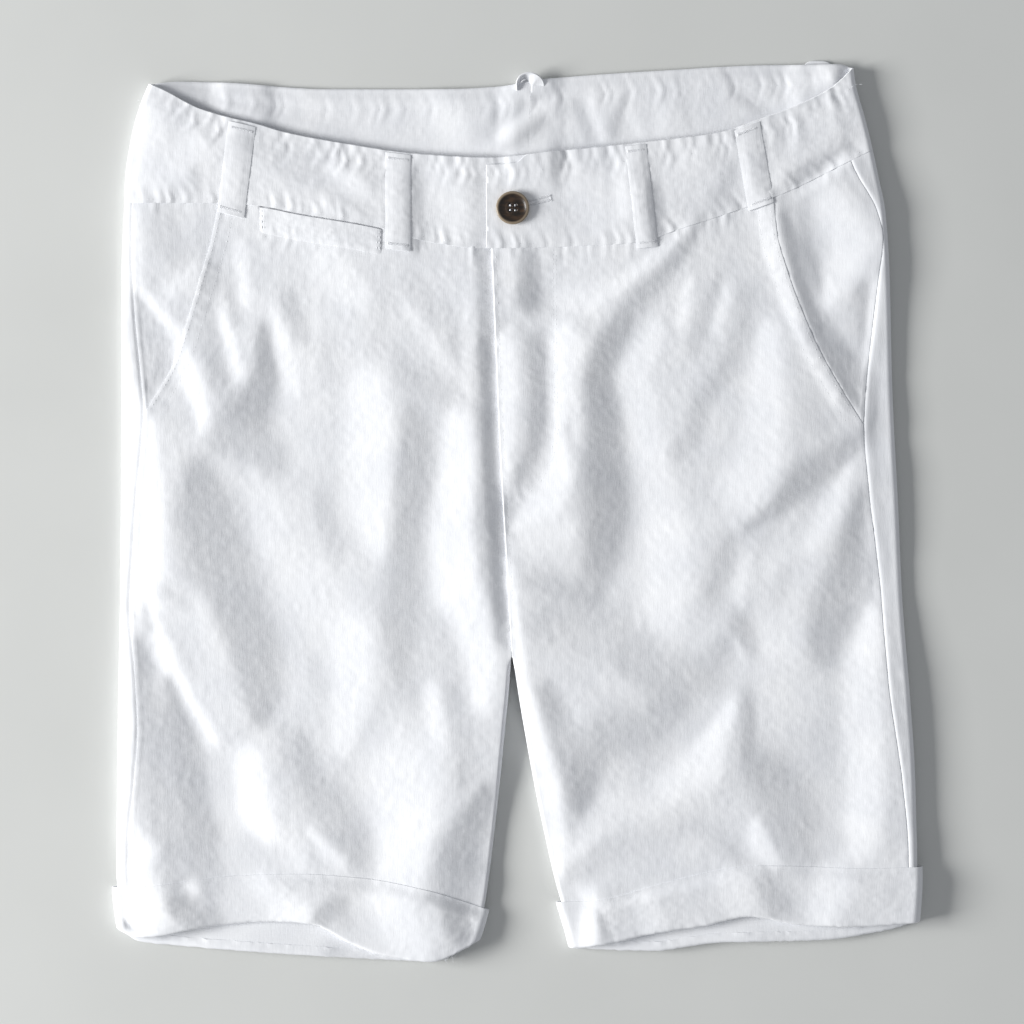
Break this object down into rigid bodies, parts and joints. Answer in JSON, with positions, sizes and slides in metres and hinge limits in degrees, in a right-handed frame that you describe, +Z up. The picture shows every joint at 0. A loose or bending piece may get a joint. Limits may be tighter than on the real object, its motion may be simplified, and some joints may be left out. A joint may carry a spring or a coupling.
{
  "type": "bermuda shorts laid flat",
  "caption": "Linen bermuda shorts laid flat on their back, with slant pockets, a coin pocket, belt loops, a waist button and turned-up cuffs.",
  "frame": {"origin": "middle of the laid-out shorts' box, on the surface they lie on", "axes": "+Y up to the waist, +X to the wearer's left, +Z up from the surface, out of the front"},
  "size_m": [0.4852, 0.5395, 0.0121],
  "materials": {
    "linen": "washed white linen, matt, slubby plain weave",
    "button": "dark horn look with a paler bronze rim, satin gloss"
  },
  "bodies": {
    "root": {"front_right": "linen", "front_left": "linen", "pocket_side_right": "linen", "pocket_side_left": "linen", "back_right": "linen", "back_left": "linen", "waistband_right": "linen", "waistband_left": "linen", "cuff_front_right": "linen", "cuff_back_right": "linen", "cuff_front_left": "linen", "cuff_back_left": "linen", "belt_loop_right_side": "linen", "belt_loop_right_front": "linen", "belt_loop_left_front": "linen", "belt_loop_left_side": "linen", "belt_loop_back_right": "linen", "belt_loop_back_centre": "linen", "belt_loop_back_left": "linen", "coin_welt": "linen", "button": "button"}
  },
  "joints": []
}
